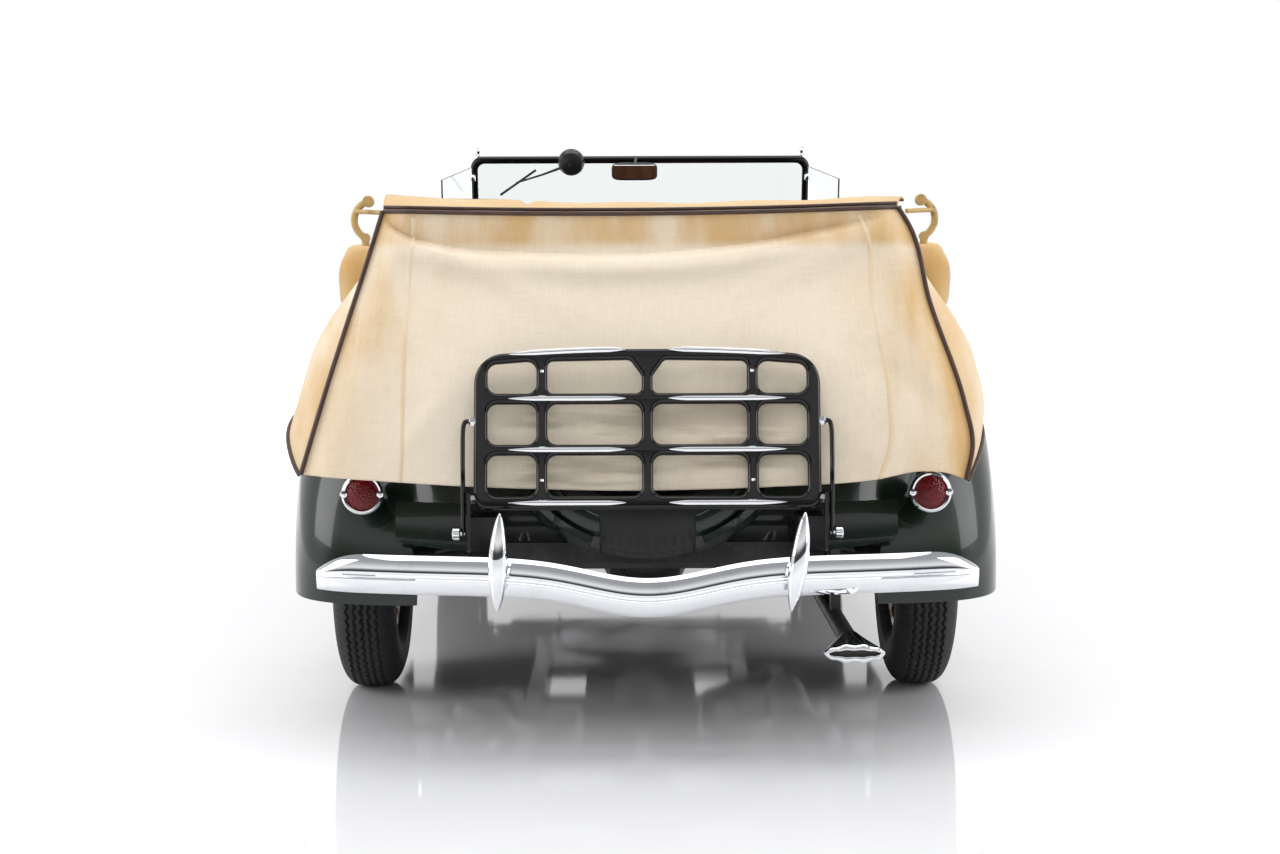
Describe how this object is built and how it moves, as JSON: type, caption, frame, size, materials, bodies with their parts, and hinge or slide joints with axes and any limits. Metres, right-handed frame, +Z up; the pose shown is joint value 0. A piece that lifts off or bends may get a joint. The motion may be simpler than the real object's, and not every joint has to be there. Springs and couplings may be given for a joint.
{
  "type": "vintage phaeton",
  "caption": "Open four-door touring car with centre-opening doors, a folded canvas top over the tail, a leaning spare wheel and a fold-down luggage rack.",
  "frame": {"origin": "middle of the car's box in X and Y, on the ground under the tyres", "axes": "+Y towards the front of the car, +X to its right-hand side, +Z up"},
  "size_m": [1.78, 4.6648, 1.5397],
  "materials": {
    "body_paint": "gloss",
    "black_paint": "satin",
    "rack_black": "gloss",
    "iron": "cast",
    "bright_trim": "polished",
    "tyre": "moulded",
    "canvas": "woven",
    "top_irons": "satin",
    "leather": "worn",
    "clear_glass": "polished",
    "lamp_glass": "polished",
    "red_glass": "polished",
    "wheel_paint": "gloss"
  },
  "bodies": {
    "chassis": {"frame": "black_paint", "jack_pads": "black_paint", "front_axle": "black_paint", "rear_axle": "black_paint", "leaf_springs": "black_paint", "engine": "iron", "grille": "bright_trim", "grille_shell": "body_paint", "hood_aprons": "body_paint", "cowl": "body_paint", "underbody": "body_paint", "rear_body": "body_paint", "door_posts": "body_paint", "front_fenders": "body_paint", "headlamps": "lamp_glass", "rear_fenders": "body_paint", "tail_lamps": "bright_trim", "tail_lenses": "red_glass", "running_boards": "black_paint", "steering_column": "black_paint", "front_seat": "leather", "rear_seat": "leather", "top_cover": "canvas", "top_stack": "canvas", "top_irons": "top_irons", "spare_tyre": "tyre", "spare_wheel": "body_paint", "rack_brackets": "rack_black", "rear_bumper": "bright_trim", "front_bumper": "bright_trim", "fuel_tank": "black_paint", "exhaust": "iron"},
    "left_front_door": {"door_front_left": "body_paint"},
    "right_front_door": {"door_front_right": "body_paint"},
    "left_rear_door": {"door_rear_left": "body_paint"},
    "right_rear_door": {"door_rear_right": "body_paint"},
    "left_hood_half": {"hood_left": "body_paint"},
    "right_hood_half": {"hood_right": "body_paint"},
    "windshield": {"windshield_frame": "black_paint", "windshield_glass": "clear_glass"},
    "steering_wheel_body": {"steering_wheel": "black_paint"},
    "rack": {"luggage_rack": "rack_black"},
    "left_front_wheel": {"wheel_front_left": "wheel_paint", "tyre_front_left": "tyre"},
    "right_front_wheel": {"wheel_front_right": "wheel_paint", "tyre_front_right": "tyre"},
    "left_rear_wheel": {"wheel_rear_left": "wheel_paint", "tyre_rear_left": "tyre"},
    "right_rear_wheel": {"wheel_rear_right": "wheel_paint", "tyre_rear_right": "tyre"},
    "left_knuckle": {"knuckle_left": "black_paint"},
    "right_knuckle": {"knuckle_right": "black_paint"},
    "tie_rod_body": {"tie_rod": "black_paint"}
  },
  "joints": [
    {"name": "steer_left", "type": "hinge", "parent": "chassis", "child": "left_knuckle", "pos_m": [-0.595, 1.6425, 0.356], "axis": [0, 0, 1], "range_deg": [-28, 28]},
    {"name": "steer_right", "type": "hinge", "parent": "chassis", "child": "right_knuckle", "pos_m": [0.595, 1.6425, 0.356], "axis": [0, 0, 1], "range_deg": [-28, 28]},
    {"name": "tie_rod_pivot", "type": "hinge", "parent": "left_knuckle", "child": "tie_rod_body", "pos_m": [-0.595, 1.4925, 0.266], "axis": [0, 0, 1], "range_deg": [-28, 28]},
    {"name": "steering_wheel_turn", "type": "hinge", "parent": "chassis", "child": "steering_wheel_body", "pos_m": [-0.33, 0.0475, 1.05], "axis": [0, -0.7796, 0.6262], "range_deg": [-392, 392]},
    {"name": "wheel_spin_front_left", "type": "hinge", "parent": "left_knuckle", "child": "left_front_wheel", "pos_m": [-0.705, 1.6425, 0.356], "axis": [1, 0, 0], "continuous": true},
    {"name": "wheel_spin_front_right", "type": "hinge", "parent": "right_knuckle", "child": "right_front_wheel", "pos_m": [0.705, 1.6425, 0.356], "axis": [1, 0, 0], "continuous": true},
    {"name": "wheel_spin_rear_left", "type": "hinge", "parent": "chassis", "child": "left_rear_wheel", "pos_m": [-0.74, -1.2025, 0.356], "axis": [1, 0, 0], "continuous": true},
    {"name": "wheel_spin_rear_right", "type": "hinge", "parent": "chassis", "child": "right_rear_wheel", "pos_m": [0.74, -1.2025, 0.356], "axis": [1, 0, 0], "continuous": true},
    {"name": "front_door_left_hinge", "type": "hinge", "parent": "chassis", "child": "left_front_door", "pos_m": [-0.61235, 0.3055, 0.995], "axis": [0, 0, -1], "range_deg": [0, 65]},
    {"name": "front_door_right_hinge", "type": "hinge", "parent": "chassis", "child": "right_front_door", "pos_m": [0.61235, 0.3055, 0.995], "axis": [0, 0, 1], "range_deg": [0, 65]},
    {"name": "rear_door_left_hinge", "type": "hinge", "parent": "chassis", "child": "left_rear_door", "pos_m": [-0.717, -1.1755, 0.995], "axis": [0, 0, 1], "range_deg": [0, 65]},
    {"name": "rear_door_right_hinge", "type": "hinge", "parent": "chassis", "child": "right_rear_door", "pos_m": [0.717, -1.1755, 0.995], "axis": [0, 0, -1], "range_deg": [0, 65]},
    {"name": "hood_left_hinge", "type": "hinge", "parent": "chassis", "child": "left_hood_half", "pos_m": [0, 0.5875, 1.165], "axis": [0, 0.9978, -0.0665], "range_deg": [0, 55]},
    {"name": "hood_right_hinge", "type": "hinge", "parent": "chassis", "child": "right_hood_half", "pos_m": [0, 0.5875, 1.165], "axis": [0, -0.9978, 0.0665], "range_deg": [0, 55]},
    {"name": "windshield_fold", "type": "hinge", "parent": "chassis", "child": "windshield", "pos_m": [0, 0.4375, 1.205], "axis": [1, 0, 0], "range_deg": [-90, 0]},
    {"name": "rack_fold", "type": "hinge", "parent": "chassis", "child": "rack", "pos_m": [0, -2.1875, 0.606], "axis": [1, 0, 0], "range_deg": [0, 95]}
  ],
  "couplings": [
    {"joint": "steer_right", "follows": "steer_left", "ratio": 1},
    {"joint": "tie_rod_pivot", "follows": "steer_left", "ratio": -1},
    {"joint": "steering_wheel_turn", "follows": "steer_left", "ratio": 14}
  ]
}
